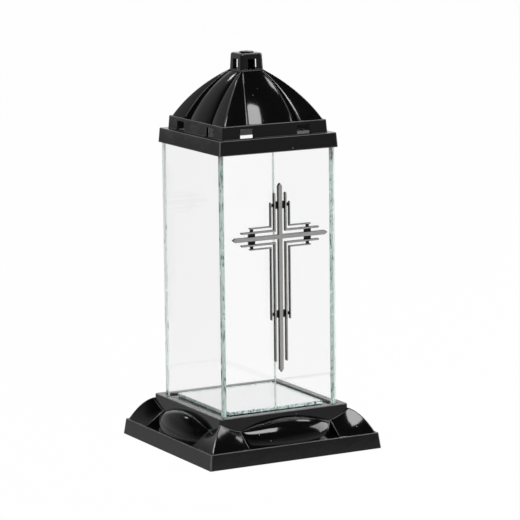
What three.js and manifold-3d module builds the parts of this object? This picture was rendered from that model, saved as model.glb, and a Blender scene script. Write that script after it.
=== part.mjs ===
// A square grave lantern: a black moulded base, four glass panes round a mirror floor, a loose black
// lid with a fluted dome, and a cross on the front pane. Millimetres, +Z up, the origin at the middle
// of the ground under the base, the front pane towards -Y.
import * as THREE from 'three';
import { mergeVertices } from 'three/addons/utils/BufferGeometryUtils.js';
import Module from 'manifold-3d';

const wasm = await Module();
wasm.setup();

// Base moulding
const SKIRT_HALF = 90.5;
const BASE_WALL = 2.2;
const SKIRT_HEIGHT = 15;
const SKIRT_LEAN = 1.85;
const SKIRT_LIP = 2.1;
const SKIRT_CORNER_RADIUS = 1.2;
const RIM_WIDTH = 6.9;
const PLATFORM_HEIGHT = 41.3;
const PLATFORM_CORNER_RADIUS = 2.2;
const FASCIA_LEAN = 0.9;

// Bulging lobe in the middle of each side of the base
const LOBE_HALF_LENGTH = 47.5;
const LOBE_END_HEIGHT = 12.8;
const LOBE_CROWN_HEIGHT = 21.9;
const LOBE_ROUND_SHARE = 0.99;
const LOBE_LENGTH_STEPS = 16;
const LOBE_ARC_STEPS = 6;

// Ridged flare at each corner of the base
const FLARE_EDGE_HEIGHT = 13.4;
const FLARE_RIDGE_HEIGHT = 22.3;
const FLARE_RIDGE_BULGE = 3.8;
const FLARE_HOLLOW_POWER = 1.6;
const FLARE_RUN_STEPS = 7;
const FLARE_SIDE_STEPS = 5;

// Glass box, its groove and its adhesive
const GLASS_HALF = 59.5;
const GLASS_THICKNESS = 4;
const PANE_HEIGHT = 258.4;
const GROOVE_DEPTH = 4.8;
const GROOVE_CLEARANCE = 1.1;
const BEDDING_THICKNESS = 0.6;
const BOND_THICKNESS = 0.5;
const FILM_GAP = 0.05;

// Mirror on the platform
const MIRROR_MARGIN = 6;
const MIRROR_THICKNESS = 3;
const MIRROR_RECESS_DEPTH = 1.8;
const PAD_RADIUS = 7;
const PAD_THICKNESS = 0.4;
const PAD_INSET = 19;
const PAD_SIDES = 20;

// Lid moulding: collar, ledge and vented band
const LID_WALL = 1.6;
const LID_SEAT_GAP = 0.3;
const COLLAR_CLEARANCE = 0.4;
const COLLAR_WALL = 1.2;
const COLLAR_DEPTH = 12.2;
const COLLAR_LEAN = 1;
const COLLAR_DRAFT = 0.7;
const COLLAR_CORNER_RADIUS = 1;
const LEDGE_WIDTH = 6.1;
const BAND_LEAN = 0.8;
const BAND_HEIGHT = 12;
const BAND_CORNER_RADIUS = 1;
const VENT_WIDTH = 13.5;
const VENT_HEIGHT = 8.8;
const VENT_OFFSET_SHARE = 0.541;

// Dome of the lid
const DOME_SHELF = 2.2;
const DOME_TOP_HALF = 11.4;
const DOME_HEIGHT = 45;
const DOME_BULGE = 3.7;
const RIB_FOOT_SHARE = 0.535;
const RIB_TOP_SHARE = 0.833;
const RIB_SPREAD_POWER = 0.9;
const FLANK_SHARE = 0.085;
const VALLEY_SHARE = 0.135;
const RIB_SET_BACK_SHARE = 0.012;
const CORNER_SWELL_SHARE = 0.012;
const LOBE_SWELL_SHARE = 0.94;
const INNER_DROP_SHARE = 0.5;
const DOME_LEVELS = 12;
const DOME_LOBE_STEPS = 4;

// Chimney of the lid
const CHIMNEY_HALF = 12.1;
const CHIMNEY_HEIGHT = 15.7;
const CHIMNEY_LEAN = 0.7;
const CHIMNEY_CORNER_RADIUS = 3;
const CHIMNEY_EDGE_RADIUS = 2.2;
const BOSS_RADIUS = 7.4;
const BOSS_LEAN = 1.4;
const BOSS_HEIGHT = 1.4;
const BOSS_SIDES = 24;
const SLOT_WIDTH = 9.3;
const SLOT_HEIGHT = 9.3;
const SLOT_SILL = 1;

// Cross on the front pane
const CROSS_SIDE_MARGIN = 9.8;
const CROSS_TOP_MARGIN = 40.6;
const CROSS_FOOT_MARGIN = 36.6;
const CROSS_DEPTH = 3;
const MAIN_BAR_WIDTH = 4;
const MAIN_TIP_LENGTH = 2.6;
const INNER_BAR_WIDTH = 1.8;
const INNER_BAR_OFFSET = 5.85;
const INNER_BAR_STEP = 8.7;
const OUTER_BAR_WIDTH = 1.2;
const OUTER_BAR_OFFSET = 9.8;
const OUTER_BAR_STEP = 17.4;
const INNER_FOOT_STEP = 10;
const OUTER_FOOT_SHARE = 0.6115;
const WEB_DEPTH = 1.4;
const WEB_WIDTH = 7;
const WEB_OUTER_WIDTH = 3;
const WEB_SET_BACK = 3;
const WEB_FOOT_SET_BACK = 5.4;
const FILM_THICKNESS = 0.3;
const FILM_MARGIN = 0.7;

// Drawing aids
const OVERRUN = 3;
const FOOT_SINK = 0.8;
const CORNER_STEPS = 3;
const QUARTER_TURN = Math.PI / 2;

// Heights and widths that follow from the sizes above
const skirtTopHalf = SKIRT_HALF - SKIRT_LEAN;
const lipInnerHalf = skirtTopHalf - SKIRT_LIP;
const paneInnerHalf = GLASS_HALF - GLASS_THICKNESS;
const grooveOuterHalf = GLASS_HALF + GROOVE_CLEARANCE;
const grooveInnerHalf = paneInnerHalf - GROOVE_CLEARANCE;
const platformHalf = grooveOuterHalf + RIM_WIDTH;
const fasciaHalf = platformHalf + FASCIA_LEAN;
const flareRun = lipInnerHalf - fasciaHalf;
const mirrorHalf = paneInnerHalf - MIRROR_MARGIN;
const grooveFloor = PLATFORM_HEIGHT - GROOVE_DEPTH;
const recessFloor = PLATFORM_HEIGHT - MIRROR_RECESS_DEPTH;
const paneFoot = grooveFloor + BEDDING_THICKNESS + 2 * FILM_GAP;
const paneTop = paneFoot + PANE_HEIGHT;
const sidePaneEnd = paneInnerHalf - BOND_THICKNESS - 2 * FILM_GAP;
const ledgeUnderside = paneTop + LID_SEAT_GAP;
const collarInnerHalf = GLASS_HALF + COLLAR_CLEARANCE;
const collarHalf = collarInnerHalf + COLLAR_WALL;
const bandHalf = collarHalf - LEDGE_WIDTH;
const bandTopHalf = bandHalf - BAND_LEAN;
const domeFootHalf = bandTopHalf - DOME_SHELF;
const ribFootOffset = domeFootHalf * RIB_FOOT_SHARE;
const ribTopOffset = DOME_TOP_HALF * RIB_TOP_SHARE;
const bandTop = LID_WALL + BAND_HEIGHT;
const domeTop = bandTop + DOME_HEIGHT;
const chimneyTop = domeTop + CHIMNEY_HEIGHT;
const chimneyTopHalf = CHIMNEY_HALF - CHIMNEY_LEAN;
const crossArm = GLASS_HALF - CROSS_SIDE_MARGIN;
const crossCentreHeight = paneTop - CROSS_TOP_MARGIN - crossArm;
const crossFoot = crossCentreHeight - PLATFORM_HEIGHT - CROSS_FOOT_MARGIN;
const innerArm = crossArm - INNER_BAR_STEP;
const innerFoot = crossFoot - INNER_FOOT_STEP;
const outerArm = crossArm - OUTER_BAR_STEP;
const outerFoot = crossFoot * OUTER_FOOT_SHARE;

// A closed mesh from corner points and triangles, turned the right way round
function solid(points, triangles) {
  let volume = 0;
  for (const [a, b, c] of triangles) {
    volume += points[a].dot(new THREE.Vector3().crossVectors(points[b], points[c]));
  }
  const order = volume < 0 ? ([a, b, c]) => [a, c, b] : (face) => face;
  const mesh = new wasm.Mesh({
    numProp: 3,
    vertProperties: new Float32Array(points.flatMap((point) => point.toArray())),
    triVerts: new Uint32Array(triangles.flatMap(order)),
  });
  mesh.merge();
  return new wasm.Manifold(mesh);
}

// A three.js geometry as a solid, after any turn and move it is given
function fromGeometry(geometry, matrix = new THREE.Matrix4()) {
  const bare = geometry.clone().applyMatrix4(matrix);
  bare.deleteAttribute('normal');
  bare.deleteAttribute('uv');
  const merged = mergeVertices(bare);
  return new wasm.Manifold(new wasm.Mesh({
    numProp: 3,
    vertProperties: new Float32Array(merged.attributes.position.array),
    triVerts: new Uint32Array(merged.index.array),
  }));
}

// A solid as a three.js geometry
function toGeometry(body) {
  const { vertProperties, triVerts } = body.getMesh();
  const geometry = new THREE.BufferGeometry();
  geometry.setAttribute('position', new THREE.BufferAttribute(vertProperties, 3));
  geometry.setIndex(new THREE.BufferAttribute(triVerts, 1));
  geometry.computeVertexNormals();
  return geometry;
}

function joined(bodies) {
  return bodies.reduce((sum, body) => sum.add(body));
}

// A box between two corners
function box(low, high) {
  const size = high.clone().sub(low);
  const middle = high.clone().add(low).multiplyScalar(1 / 2);
  const geometry = new THREE.BoxGeometry(size.x, size.y, size.z);
  return fromGeometry(geometry, new THREE.Matrix4().setPosition(middle));
}

// A square box round the Z axis
function squareBox(half, bottom, top) {
  return box(new THREE.Vector3(-half, -half, bottom), new THREE.Vector3(half, half, top));
}

// The same shape on all four sides; make takes the quarter turn as a matrix
function onFourSides(make) {
  return [0, 1, 2, 3].map((side) => make(new THREE.Matrix4().makeRotationZ(side * QUARTER_TURN)));
}

function turned(points, matrix) {
  return points.map((point) => point.clone().applyMatrix4(matrix));
}

// A square outline with rounded corners at one height
function squareRing(half, height, radius = 0) {
  const ring = [];
  for (const side of [0, 1, 2, 3]) {
    for (let step = 0; step <= CORNER_STEPS; step += 1) {
      const angle = (side + step / CORNER_STEPS) * QUARTER_TURN;
      const corner = (side + 1 / 2) * QUARTER_TURN;
      const reach = (half - radius) * Math.SQRT2;
      ring.push(new THREE.Vector3(
        reach * Math.cos(corner) + radius * Math.cos(angle),
        reach * Math.sin(corner) + radius * Math.sin(angle),
        height,
      ));
    }
  }
  return ring;
}

// A closed skin through rings of equal counts, with a point in the middle of each end
function loft(rings) {
  const count = rings[0].length;
  const points = rings.flat();
  const triangles = [];
  for (let level = 0; level + 1 < rings.length; level += 1) {
    for (let index = 0; index < count; index += 1) {
      const next = (index + 1) % count;
      const low = level * count;
      const high = low + count;
      triangles.push([low + index, low + next, high + next], [low + index, high + next, high + index]);
    }
  }
  for (const [level, ring] of [[0, rings[0]], [rings.length - 1, rings[rings.length - 1]]]) {
    const middle = points.length;
    points.push(new THREE.Vector3(0, 0, ring[0].z));
    for (let index = 0; index < count; index += 1) {
      const here = level * count + index;
      const next = level * count + (index + 1) % count;
      triangles.push(level === 0 ? [middle, next, here] : [middle, here, next]);
    }
  }
  return solid(points, triangles);
}

// A four-sided block that leans in from one width to another
function block(bottomHalf, topHalf, bottom, top, radius) {
  return loft([squareRing(bottomHalf, bottom, radius), squareRing(topHalf, top, radius)]);
}

// The solid between a surface, given as rows of points, and a floor under it
function underSurface(rows, floor) {
  const count = rows[0].length;
  const last = rows.length - 1;
  const top = rows.flat();
  const points = [...top, ...top.map((point) => new THREE.Vector3(point.x, point.y, floor))];
  const triangles = [];
  const quad = (a, b, c, d) => triangles.push([a, b, c], [a, c, d]);
  const under = top.length;
  for (let row = 0; row < last; row += 1) {
    for (let column = 0; column + 1 < count; column += 1) {
      const a = row * count + column;
      const d = a + count;
      quad(a, a + 1, d + 1, d);
      quad(under + a, under + d, under + d + 1, under + a + 1);
    }
    const start = row * count;
    const end = start + count - 1;
    quad(start, start + count, under + start + count, under + start);
    quad(end, under + end, under + end + count, end + count);
  }
  for (let column = 0; column + 1 < count; column += 1) {
    const far = last * count + column;
    quad(column, under + column, under + column + 1, column + 1);
    quad(far, far + 1, under + far + 1, under + far);
  }
  return solid(points, triangles);
}

// One bulging lobe of the base on the +X side, drawn smaller by inset for the hollow under it
function baseLobe(inset, matrix) {
  const foot = SKIRT_HEIGHT - inset;
  const root = fasciaHalf - inset;
  const rows = [];
  for (let row = 0; row <= LOBE_LENGTH_STEPS; row += 1) {
    const along = 2 * row / LOBE_LENGTH_STEPS - 1;
    const crown = LOBE_CROWN_HEIGHT + (LOBE_END_HEIGHT - LOBE_CROWN_HEIGHT) * along ** 2;
    const run = flareRun * Math.sqrt(1 - (LOBE_ROUND_SHARE * along) ** 2);
    const across = along * (LOBE_HALF_LENGTH - inset);
    const points = [new THREE.Vector3(root - OVERRUN, across, foot + crown)];
    for (let column = 0; column <= LOBE_ARC_STEPS; column += 1) {
      const angle = column / LOBE_ARC_STEPS * QUARTER_TURN;
      points.push(new THREE.Vector3(root + run * Math.sin(angle), across, foot + crown * Math.cos(angle)));
    }
    rows.push(turned(points, matrix));
  }
  return underSurface(rows, foot - OVERRUN);
}

// Height of the flare over its foot: a straight edge beside the lobe, a bulging ridge on the diagonal
function flareHeight(inward, acrossShare) {
  const share = Math.min(inward / flareRun, 1);
  const edge = FLARE_EDGE_HEIGHT * share;
  const ridge = FLARE_RIDGE_HEIGHT * share + 4 * FLARE_RIDGE_BULGE * share * (1 - share);
  return edge + (ridge - edge) * acrossShare ** FLARE_HOLLOW_POWER;
}

// One corner flare of the base on the +X +Y corner, drawn smaller by inset for the hollow under it
function baseFlare(inset, matrix) {
  const foot = SKIRT_HEIGHT - inset;
  const side = LOBE_HALF_LENGTH + inset;
  const rows = [];
  for (let row = 0; row <= FLARE_RUN_STEPS + 1; row += 1) {
    const inward = flareRun * row / FLARE_RUN_STEPS;
    const out = row <= FLARE_RUN_STEPS ? lipInnerHalf - inset - inward : fasciaHalf - inset - OVERRUN;
    const points = [];
    for (let column = -FLARE_SIDE_STEPS; column <= FLARE_SIDE_STEPS; column += 1) {
      const share = 1 - Math.abs(column) / FLARE_SIDE_STEPS;
      const across = side + (out - side) * share;
      const height = foot + flareHeight(inward, share);
      points.push(column < 0 ? new THREE.Vector3(out, across, height) : new THREE.Vector3(across, out, height));
    }
    rows.push(turned(points, matrix));
  }
  return underSurface(rows, foot - OVERRUN);
}

// The sculpted outside of the base, or the hollow inside it when inset is the wall
function baseBody(inset) {
  const bottom = inset > 0 ? -OVERRUN : 0;
  const skirtTop = SKIRT_HEIGHT - inset;
  const blockTop = inset > 0 ? grooveFloor - inset : PLATFORM_HEIGHT;
  return joined([
    block(SKIRT_HALF - inset, skirtTopHalf - inset, bottom, skirtTop, SKIRT_CORNER_RADIUS),
    block(fasciaHalf - inset, platformHalf - inset, skirtTop - OVERRUN, blockTop, PLATFORM_CORNER_RADIUS),
    ...onFourSides((matrix) => baseLobe(inset, matrix)),
    ...onFourSides((matrix) => baseFlare(inset, matrix)),
  ]);
}

// Base: sculpted shell with a groove for the panes and a sunk platform for the mirror
function baseShell() {
  const underPlatform = squareBox(grooveInnerHalf - BASE_WALL, 0, recessFloor - BASE_WALL);
  const recess = squareBox(grooveOuterHalf, grooveFloor, PLATFORM_HEIGHT + OVERRUN);
  const platform = squareBox(grooveInnerHalf, grooveFloor - OVERRUN, recessFloor);
  return baseBody(0).subtract(recess.subtract(platform)).subtract(baseBody(BASE_WALL)).subtract(underPlatform);
}

// One round dab of adhesive, lying flat
function mirrorPad() {
  return new THREE.CylinderGeometry(PAD_RADIUS, PAD_RADIUS, PAD_THICKNESS, PAD_SIDES).rotateX(QUARTER_TURN);
}

// Square ring of adhesive in the bottom of the groove
function paneBedding() {
  const bottom = -BEDDING_THICKNESS / 2;
  const top = BEDDING_THICKNESS / 2;
  const outer = squareBox(grooveOuterHalf - FILM_GAP, bottom, top);
  return outer.subtract(squareBox(grooveInnerHalf + FILM_GAP, bottom - OVERRUN, top + OVERRUN));
}

// Widths on the arc of the dome at a share of the way up, with the height over its foot
function domeProfile(share) {
  const run = domeFootHalf - DOME_TOP_HALF;
  const chord = Math.hypot(run, DOME_HEIGHT);
  const swell = 4 * DOME_BULGE * share * (1 - share);
  return {
    half: domeFootHalf - run * share + swell * DOME_HEIGHT / chord,
    rise: DOME_HEIGHT * share + swell * run / chord,
  };
}

// Half of one side of the dome's outline, from the middle of the face to the corner
function domeSide(half) {
  const spread = Math.max(half - DOME_TOP_HALF, 0) / (domeFootHalf - DOME_TOP_HALF);
  const rib = ribTopOffset + (ribFootOffset - ribTopOffset) * spread ** RIB_SPREAD_POWER;
  const valley = rib - FLANK_SHARE * half;
  const valleyOut = half * (1 - VALLEY_SHARE);
  const ribOut = half * (1 - RIB_SET_BACK_SHARE);
  const side = [];
  for (let step = 0; step <= DOME_LOBE_STEPS; step += 1) {
    const share = step / DOME_LOBE_STEPS;
    const swell = Math.sqrt(1 - (LOBE_SWELL_SHARE * share) ** 2);
    side.push({ across: valley * share, out: valleyOut + (half - valleyOut) * swell });
  }
  side.push({ across: rib, out: ribOut });
  side.push({ across: (rib + half) / 2, out: (ribOut + half) / 2 + half * CORNER_SWELL_SHARE });
  return side;
}

// The dome's outline at one height, all the way round, drawn smaller by inset
function domeRing(half, height, inset) {
  const side = domeSide(half);
  const corner = { across: half, out: half };
  const mirrored = side.slice(1).map(({ across, out }) => ({ across: -across, out })).reverse();
  const outline = [...mirrored, ...side, corner];
  return onFourSides((matrix) => outline.map(({ across, out }) => {
    const shrink = (out - inset) / out;
    return new THREE.Vector3(out * shrink, across * shrink, height).applyMatrix4(matrix);
  })).flat();
}

// The fluted dome, or the hollow inside it when inset is the wall
function domeBody(inset) {
  const drop = inset * INNER_DROP_SHARE;
  const rings = [domeRing(domeFootHalf, bandTop - drop - inset - FOOT_SINK, inset)];
  for (let level = 0; level <= DOME_LEVELS; level += 1) {
    const { half, rise } = domeProfile(level / DOME_LEVELS);
    rings.push(domeRing(half, bandTop + rise - drop, inset));
  }
  return loft(rings);
}

// The chimney with softened top edges, or the hollow inside it when inset is the wall
function chimneyBody(inset) {
  const radius = Math.max(CHIMNEY_CORNER_RADIUS - inset, 0);
  const edge = CHIMNEY_EDGE_RADIUS;
  const rings = [squareRing(CHIMNEY_HALF - inset, domeTop - OVERRUN - inset, radius)];
  for (let step = 0; step <= CORNER_STEPS; step += 1) {
    const angle = step / CORNER_STEPS * QUARTER_TURN;
    const half = chimneyTopHalf - inset - edge * (1 - Math.cos(angle));
    rings.push(squareRing(half, chimneyTop - inset - edge * (1 - Math.sin(angle)), radius));
  }
  return loft(rings);
}

// Lid: a loose cap whose ledge sits on the panes, drawn from the underside of that ledge
function lidShell() {
  const outside = joined([
    block(collarHalf + COLLAR_LEAN, collarHalf, -COLLAR_DEPTH, LID_WALL, COLLAR_CORNER_RADIUS),
    block(bandHalf, bandTopHalf, LID_WALL - FOOT_SINK, bandTop, BAND_CORNER_RADIUS),
    domeBody(0),
    chimneyBody(0),
    topBoss(),
  ]);
  const inside = joined([
    loft([
      squareRing(collarInnerHalf + COLLAR_DRAFT, -COLLAR_DEPTH - OVERRUN),
      squareRing(collarInnerHalf + COLLAR_DRAFT, -COLLAR_DEPTH),
      squareRing(collarInnerHalf, 0),
    ]),
    block(bandHalf - LID_WALL, bandTopHalf - LID_WALL, -OVERRUN, bandTop - LID_WALL),
    domeBody(LID_WALL),
    chimneyBody(LID_WALL),
  ]);
  const openings = onFourSides((matrix) => {
    const vents = [-1, 1].map((way) => ventCut(way * bandHalf * VENT_OFFSET_SHARE, matrix));
    return joined([...vents, slotCut(matrix)]);
  });
  return openings.reduce((body, cut) => body.subtract(cut), outside.subtract(inside));
}

// One window through the band, standing on the ledge
function ventCut(offset, matrix) {
  const reach = 2 * OVERRUN;
  const cut = new THREE.BoxGeometry(2 * reach, VENT_WIDTH, VENT_HEIGHT);
  const place = new THREE.Matrix4().setPosition(bandHalf - LID_WALL, offset, LID_WALL + VENT_HEIGHT / 2);
  return fromGeometry(cut, matrix.clone().multiply(place));
}

// One slot through a side of the chimney
function slotCut(matrix) {
  const cut = new THREE.BoxGeometry(CHIMNEY_HALF, SLOT_WIDTH, SLOT_HEIGHT);
  const place = new THREE.Matrix4().setPosition(CHIMNEY_HALF, 0, domeTop + SLOT_SILL + SLOT_HEIGHT / 2);
  return fromGeometry(cut, matrix.clone().multiply(place));
}

// The low round boss on the chimney's top
function topBoss() {
  const height = BOSS_HEIGHT + FOOT_SINK;
  const geometry = new THREE.CylinderGeometry(BOSS_RADIUS - BOSS_LEAN, BOSS_RADIUS, height, BOSS_SIDES);
  const place = new THREE.Matrix4().setPosition(0, 0, chimneyTop + BOSS_HEIGHT - height / 2);
  return fromGeometry(geometry, place.multiply(new THREE.Matrix4().makeRotationX(QUARTER_TURN)));
}

// A flat outline in the plane of the front pane, given a depth towards the front
function plate(outline, depth) {
  const shape = new THREE.Shape(outline.map(([across, up]) => new THREE.Vector2(across, up)));
  const geometry = new THREE.ExtrudeGeometry(shape, { depth, bevelEnabled: false });
  return fromGeometry(geometry, new THREE.Matrix4().makeRotationX(QUARTER_TURN));
}

// Outline of a plain cross whose four arms end in points
function crossOutline(halfWidth, arm, foot, tip) {
  return [
    [0, arm], [halfWidth, arm - tip], [halfWidth, halfWidth],
    [arm - tip, halfWidth], [arm, 0], [arm - tip, -halfWidth],
    [halfWidth, -halfWidth], [halfWidth, tip - foot], [0, -foot],
    [-halfWidth, tip - foot], [-halfWidth, -halfWidth], [tip - arm, -halfWidth],
    [-arm, 0], [tip - arm, halfWidth], [-halfWidth, halfWidth], [-halfWidth, arm - tip],
  ];
}

// One angled bar in a quarter of the cross, its two ends pointed
function angledBar(width, offset, reachAcross, reachUp, wayAcross, wayUp) {
  const low = offset - width / 2;
  const high = offset + width / 2;
  const points = [
    [low, low], [reachAcross - width, low], [reachAcross, offset], [reachAcross - width, high],
    [high, high], [high, reachUp - width], [offset, reachUp], [low, reachUp - width],
  ];
  return plate(points.map(([across, up]) => [across * wayAcross, up * wayUp]), CROSS_DEPTH);
}

// A low web that ties the bars together across one arm
function web(acrossHalf, upHalf, across, up) {
  return plate([
    [across - acrossHalf, up - upHalf], [across + acrossHalf, up - upHalf],
    [across + acrossHalf, up + upHalf], [across - acrossHalf, up + upHalf],
  ], WEB_DEPTH);
}

// Cross: a pointed main cross with two angled bars in each quarter, tied by low webs
function crossOrnament() {
  const bodies = [plate(crossOutline(MAIN_BAR_WIDTH / 2, crossArm, crossFoot, MAIN_TIP_LENGTH), CROSS_DEPTH)];
  for (const wayAcross of [-1, 1]) {
    for (const [wayUp, innerUp, outerUp] of [[1, innerArm, outerArm], [-1, innerFoot, outerFoot]]) {
      bodies.push(angledBar(INNER_BAR_WIDTH, INNER_BAR_OFFSET, innerArm, innerUp, wayAcross, wayUp));
      bodies.push(angledBar(OUTER_BAR_WIDTH, OUTER_BAR_OFFSET, outerArm, outerUp, wayAcross, wayUp));
    }
  }
  const wide = WEB_WIDTH / 2;
  const narrow = WEB_OUTER_WIDTH / 2;
  const webArm = outerArm - WEB_SET_BACK;
  const webFoot = outerFoot - WEB_FOOT_SET_BACK;
  for (const across of [-webArm, webArm]) {
    bodies.push(web(wide, INNER_BAR_OFFSET, across, 0));
    bodies.push(web(narrow, OUTER_BAR_OFFSET, across, 0));
  }
  for (const up of [webArm, -webFoot]) {
    bodies.push(web(INNER_BAR_OFFSET, wide, 0, up));
    bodies.push(web(OUTER_BAR_OFFSET, narrow, 0, up));
  }
  return joined(bodies);
}

// The film of adhesive behind the main cross
function crossAdhesive() {
  const halfWidth = MAIN_BAR_WIDTH / 2 - FILM_MARGIN;
  const trim = MAIN_TIP_LENGTH + FILM_MARGIN;
  return plate(crossOutline(halfWidth, crossArm - trim, crossFoot - trim, halfWidth), FILM_THICKNESS);
}

// Finishes of the real pieces
const blackPlastic = { color: 0x17171a, roughness: 0.12, metalness: 0 };
const clearGlass = { color: 0xdfeee9, roughness: 0.03, metalness: 0, transparent: true, opacity: 0.25 };
const clearAdhesive = { color: 0xe4e6e0, roughness: 0.35, metalness: 0, transparent: true, opacity: 0.5 };
const silvered = { color: 0xd9dcdb, roughness: 0.05, metalness: 1 };
const silverFoil = { color: 0xb9b9b7, roughness: 0.35, metalness: 0.6 };

const lantern = new THREE.Group();

// One named piece of the lantern at its place
function add(name, geometry, finish, x, y, z) {
  const mesh = new THREE.Mesh(geometry, new THREE.MeshStandardMaterial(finish));
  mesh.name = name;
  mesh.position.set(x, y, z);
  lantern.add(mesh);
}

add('base_shell', toGeometry(baseShell()), blackPlastic, 0, 0, 0);

// The mirror lies on four dabs of adhesive
const padReach = mirrorHalf - PAD_INSET;
const padHeight = recessFloor + FILM_GAP + PAD_THICKNESS / 2;
for (const [place, wayAcross, wayBack] of [['1', -1, -1], ['2', 1, -1], ['3', 1, 1], ['4', -1, 1]]) {
  add(`mirror_pad_${place}`, mirrorPad(), clearAdhesive, wayAcross * padReach, wayBack * padReach, padHeight);
}
const mirrorBottom = recessFloor + 2 * FILM_GAP + PAD_THICKNESS;
add(
  'mirror_floor', new THREE.BoxGeometry(2 * mirrorHalf, 2 * mirrorHalf, MIRROR_THICKNESS), silvered,
  0, 0, mirrorBottom + MIRROR_THICKNESS / 2,
);
add('pane_bedding', toGeometry(paneBedding()), clearAdhesive, 0, 0, grooveFloor + FILM_GAP + BEDDING_THICKNESS / 2);

// Front and back panes run the full width; the side panes stand between them
const paneMiddle = GLASS_HALF - GLASS_THICKNESS / 2;
const paneMidHeight = (paneFoot + paneTop) / 2;
for (const [name, way] of [['pane_front', -1], ['pane_back', 1]]) {
  const pane = new THREE.BoxGeometry(2 * GLASS_HALF, GLASS_THICKNESS, PANE_HEIGHT);
  add(name, pane, clearGlass, 0, way * paneMiddle, paneMidHeight);
}
for (const [name, way] of [['pane_left', -1], ['pane_right', 1]]) {
  const pane = new THREE.BoxGeometry(GLASS_THICKNESS, 2 * sidePaneEnd, PANE_HEIGHT);
  add(name, pane, clearGlass, way * paneMiddle, 0, paneMidHeight);
}
for (const [end, wayFront] of [['front', -1], ['back', 1]]) {
  for (const [side, wayAcross] of [['left', -1], ['right', 1]]) {
    const strip = new THREE.BoxGeometry(GLASS_THICKNESS - 2 * FILM_GAP, BOND_THICKNESS, PANE_HEIGHT);
    const middle = sidePaneEnd + FILM_GAP + BOND_THICKNESS / 2;
    add(`bond_${end}_${side}`, strip, clearAdhesive, wayAcross * paneMiddle, wayFront * middle, paneMidHeight);
  }
}

const filmFront = GLASS_HALF + FILM_GAP;
add('cross_adhesive', toGeometry(crossAdhesive()), clearAdhesive, 0, -filmFront, crossCentreHeight);
const crossBack = filmFront + FILM_THICKNESS + FILM_GAP;
add('cross_ornament', toGeometry(crossOrnament()), silverFoil, 0, -crossBack, crossCentreHeight);

add('lid', toGeometry(lidShell()), blackPlastic, 0, 0, ledgeUnderside);

export default lantern;
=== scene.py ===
"""A square grave lantern: black moulded base and lid, four glass panes, a mirror floor and a cross.

Metres, +Z up, the origin at the middle of the ground under the base, the front pane towards -Y.
"""
import math

import bmesh
import bpy
import numpy as np
from bpy.props import FloatProperty, FloatVectorProperty, IntProperty, PointerProperty
from mathutils import Matrix, Vector


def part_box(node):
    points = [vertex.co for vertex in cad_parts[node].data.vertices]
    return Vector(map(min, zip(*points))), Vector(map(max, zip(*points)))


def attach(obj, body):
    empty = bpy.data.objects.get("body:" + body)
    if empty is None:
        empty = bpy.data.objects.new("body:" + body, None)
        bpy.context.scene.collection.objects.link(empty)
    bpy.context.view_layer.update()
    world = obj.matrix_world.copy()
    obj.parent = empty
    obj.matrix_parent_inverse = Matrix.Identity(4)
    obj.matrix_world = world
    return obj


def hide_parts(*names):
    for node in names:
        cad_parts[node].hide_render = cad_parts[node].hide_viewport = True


bl_info = {
    "name": "Square Grave Lantern",
    "version": (1, 0, 0),
    "blender": (4, 5, 0),
    "location": "3D View > Sidebar > Lantern",
    "description": "Makes a glass grave lantern with a moulded base, a fluted lid and a stepped cross",
    "category": "Add Mesh",
}

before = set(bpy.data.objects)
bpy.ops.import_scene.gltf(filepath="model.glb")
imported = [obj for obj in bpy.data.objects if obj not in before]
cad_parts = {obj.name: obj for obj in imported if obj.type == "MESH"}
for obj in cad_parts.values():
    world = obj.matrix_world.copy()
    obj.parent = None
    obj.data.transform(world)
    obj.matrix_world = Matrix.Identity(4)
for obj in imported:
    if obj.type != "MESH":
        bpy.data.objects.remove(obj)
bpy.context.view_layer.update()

BASE_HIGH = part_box("base_shell")[1]
FRONT_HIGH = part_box("pane_front")[1]
MIRROR_LOW, MIRROR_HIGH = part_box("mirror_floor")
CROSS_LOW, CROSS_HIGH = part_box("cross_ornament")
GLASS_HALF = FRONT_HIGH.x
SIDES = 4
QUARTER_TURN = math.pi / 2
OVERRUN = 0.003
WHITE = (1, 1, 1)

# The least cosine at which a face counts as facing a way
FACING = 0.9

# How strongly a flare's points crowd towards the lobe beside it
FLARE_CROWDING = 1.6

# Where the lobe, the flank, the panel and the turn of half a dome side end, and what the turn takes
DOME_STOPS = (0.0, 0.5, 0.6, 0.9, 1.0)
DOME_TURN_SHARE = 0.08
DOME_CUT_SHARE = 0.02
DOME_SINK = 0.0008
WELD_DISTANCE = 0.000004

# Sections of the boss and of the gate's dimple: how far in or out, and how high, as shares
BOSS_RIM = ((-1, -1), (0, 0), (0.7, 0.6), (1.2, 0.9), (1.8, 1))
GATE_DIMPLE = ((1.6, 1), (1, 0.7), (0.8, 0.2))

# How much of the joint's thickness a bubble fills
BUBBLE_SHARE = 0.8

# The mirror's broken edge: points along a side and up its height, and how fine and coarse chips share it
MIRROR_SEED = 5
MIRROR_STEPS = 90
MIRROR_LEVELS = 6
CHIP_RUN = 7
FINE_CHIPS, COARSE_CHIPS = 0.45, 0.9

# Faces on sharp outer edges that get a painted highlight in the plastic's finish, or the duller finish inside
# the lid
PAINTED_EDGE_HIGHLIGHTS = "painted_edge_highlights"
SHARP_BEND = 350.0
THINNEST_FACE = 0.00002
INSIDE_LEVEL, INSIDE_INWARDS, INSIDE_DOWNWARDS = 0.05, -0.2, -0.5

# The studio floor: how white it is, and how much darker glass and gloss see it, near the lantern and away
FLOOR_SIDES = 96
FLOOR_WHITENESS = 0.985
FLOOR_DIM_IN_GLASS, FLOOR_DIM_IN_GLOSS = 0.25, 0.73
FLOOR_BRIGHTER_NEAR, FLOOR_NEAR = 0.22, 0.9

# Height that the lamps look at
LAMP_AIM = 0.2


def length(name, description, default):
    return FloatProperty(name=name, description=description, default=default, precision=4, unit="LENGTH")


def share(name, description, default):
    return FloatProperty(name=name, description=description, default=default, min=0, max=1, subtype="FACTOR")


def number(name, description, default):
    return FloatProperty(name=name, description=description, default=default)


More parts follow.
